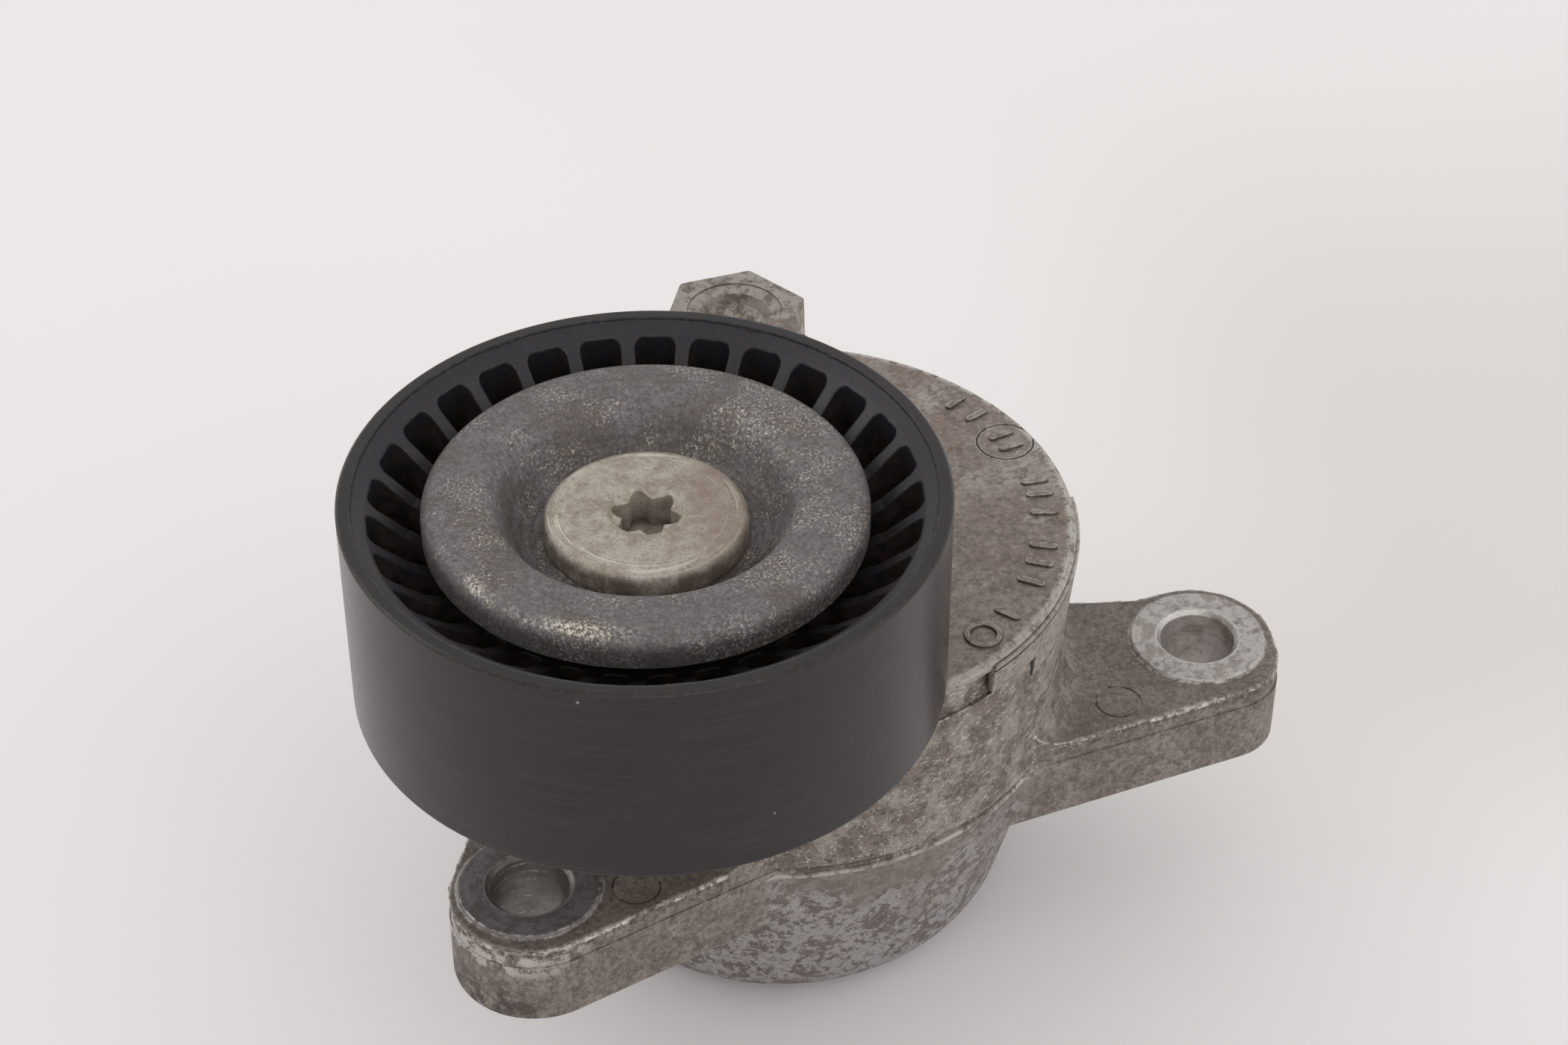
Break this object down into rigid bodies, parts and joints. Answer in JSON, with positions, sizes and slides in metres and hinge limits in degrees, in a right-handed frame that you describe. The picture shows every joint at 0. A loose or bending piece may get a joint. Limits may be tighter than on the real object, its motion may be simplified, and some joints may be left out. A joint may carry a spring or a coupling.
{
  "type": "belt tensioner idler",
  "caption": "Sprung automatic belt tensioner: cast base with two bolt lugs, pivoting arm with a wrench hexagon, and a smooth black idler pulley on a ball bearing.",
  "frame": {"origin": "on the arm's pivot axis, where it crosses the plane of the undersides of the two mounting lugs", "axes": "+Z along the pivot axis, towards the pulley; +X from the pivot axis to the centre of the far mounting hole; the pulley axis is at 240 degrees from +X, 38 mm out"},
  "size_m": [0.1277, 0.1229, 0.0966],
  "materials": {
    "cast_base": "die-cast, matt, dull grey-brown oxide mottling",
    "bush_polymer": "low-friction polymer lined sleeve",
    "washer_polymer": "moulded low-friction polymer",
    "cap_steel": "pressed steel, zinc plated",
    "spring_steel": "spring steel, dark phosphate coat",
    "cast_arm": "die-cast, matt, brown-grey stains",
    "shaft_steel": "ground steel",
    "ring_polymer": "glass-filled polymer",
    "retainer_steel": "hardened steel",
    "clip_steel": "spring steel, blackened",
    "shield_steel": "pressed steel, zinc plated",
    "race_inner_steel": "ground bearing steel",
    "race_outer_steel": "ground bearing steel",
    "ball_steel": "polished bearing steel",
    "cage_polymer": "moulded polymer",
    "seal_rubber_front": "moulded rubber",
    "seal_rubber_rear": "moulded rubber",
    "drum_plastic": "black glass-filled polymer, belt-polished outside",
    "cover_steel": "pressed steel, blue-grey zinc with worn flecks",
    "bolt_steel": "steel, worn light-grey coat"
  },
  "bodies": {
    "base": {"base_housing": "cast_base", "pivot_bush": "bush_polymer", "thrust_washer": "washer_polymer", "end_cap": "cap_steel", "torsion_spring": "spring_steel"},
    "tensioner_arm": {"arm": "cast_arm", "pivot_shaft": "shaft_steel", "friction_ring": "ring_polymer", "retaining_washer": "retainer_steel", "snap_ring": "clip_steel", "rear_shield": "shield_steel", "bearing_inner": "race_inner_steel", "dust_cover": "cover_steel", "pulley_bolt": "bolt_steel"},
    "pulley": {"pulley_drum": "drum_plastic", "bearing_outer": "race_outer_steel", "bearing_seal_front": "seal_rubber_front", "bearing_seal_rear": "seal_rubber_rear"},
    "cage": {"ball_cage": "cage_polymer", "bearing_balls": "ball_steel"}
  },
  "joints": [
    {"name": "arm_pivot", "type": "hinge", "parent": "base", "child": "tensioner_arm", "pos_m": [0, 0, 0], "axis": [0, 0, 1], "range_deg": [0, 42], "stiffness_Nm_per_rad": 30, "springref_deg": -45.84, "deforming": ["torsion_spring"]},
    {"name": "pulley_spin", "type": "hinge", "parent": "tensioner_arm", "child": "pulley", "pos_m": [-0.019, -0.03291, 0.0541], "axis": [0, 0, 1], "continuous": true},
    {"name": "cage_spin", "type": "hinge", "parent": "tensioner_arm", "child": "cage", "pos_m": [-0.019, -0.03291, 0.0541], "axis": [0, 0, 1], "continuous": true}
  ],
  "couplings": [
    {"joint": "cage_spin", "follows": "pulley_spin", "ratio": 0.61842}
  ]
}
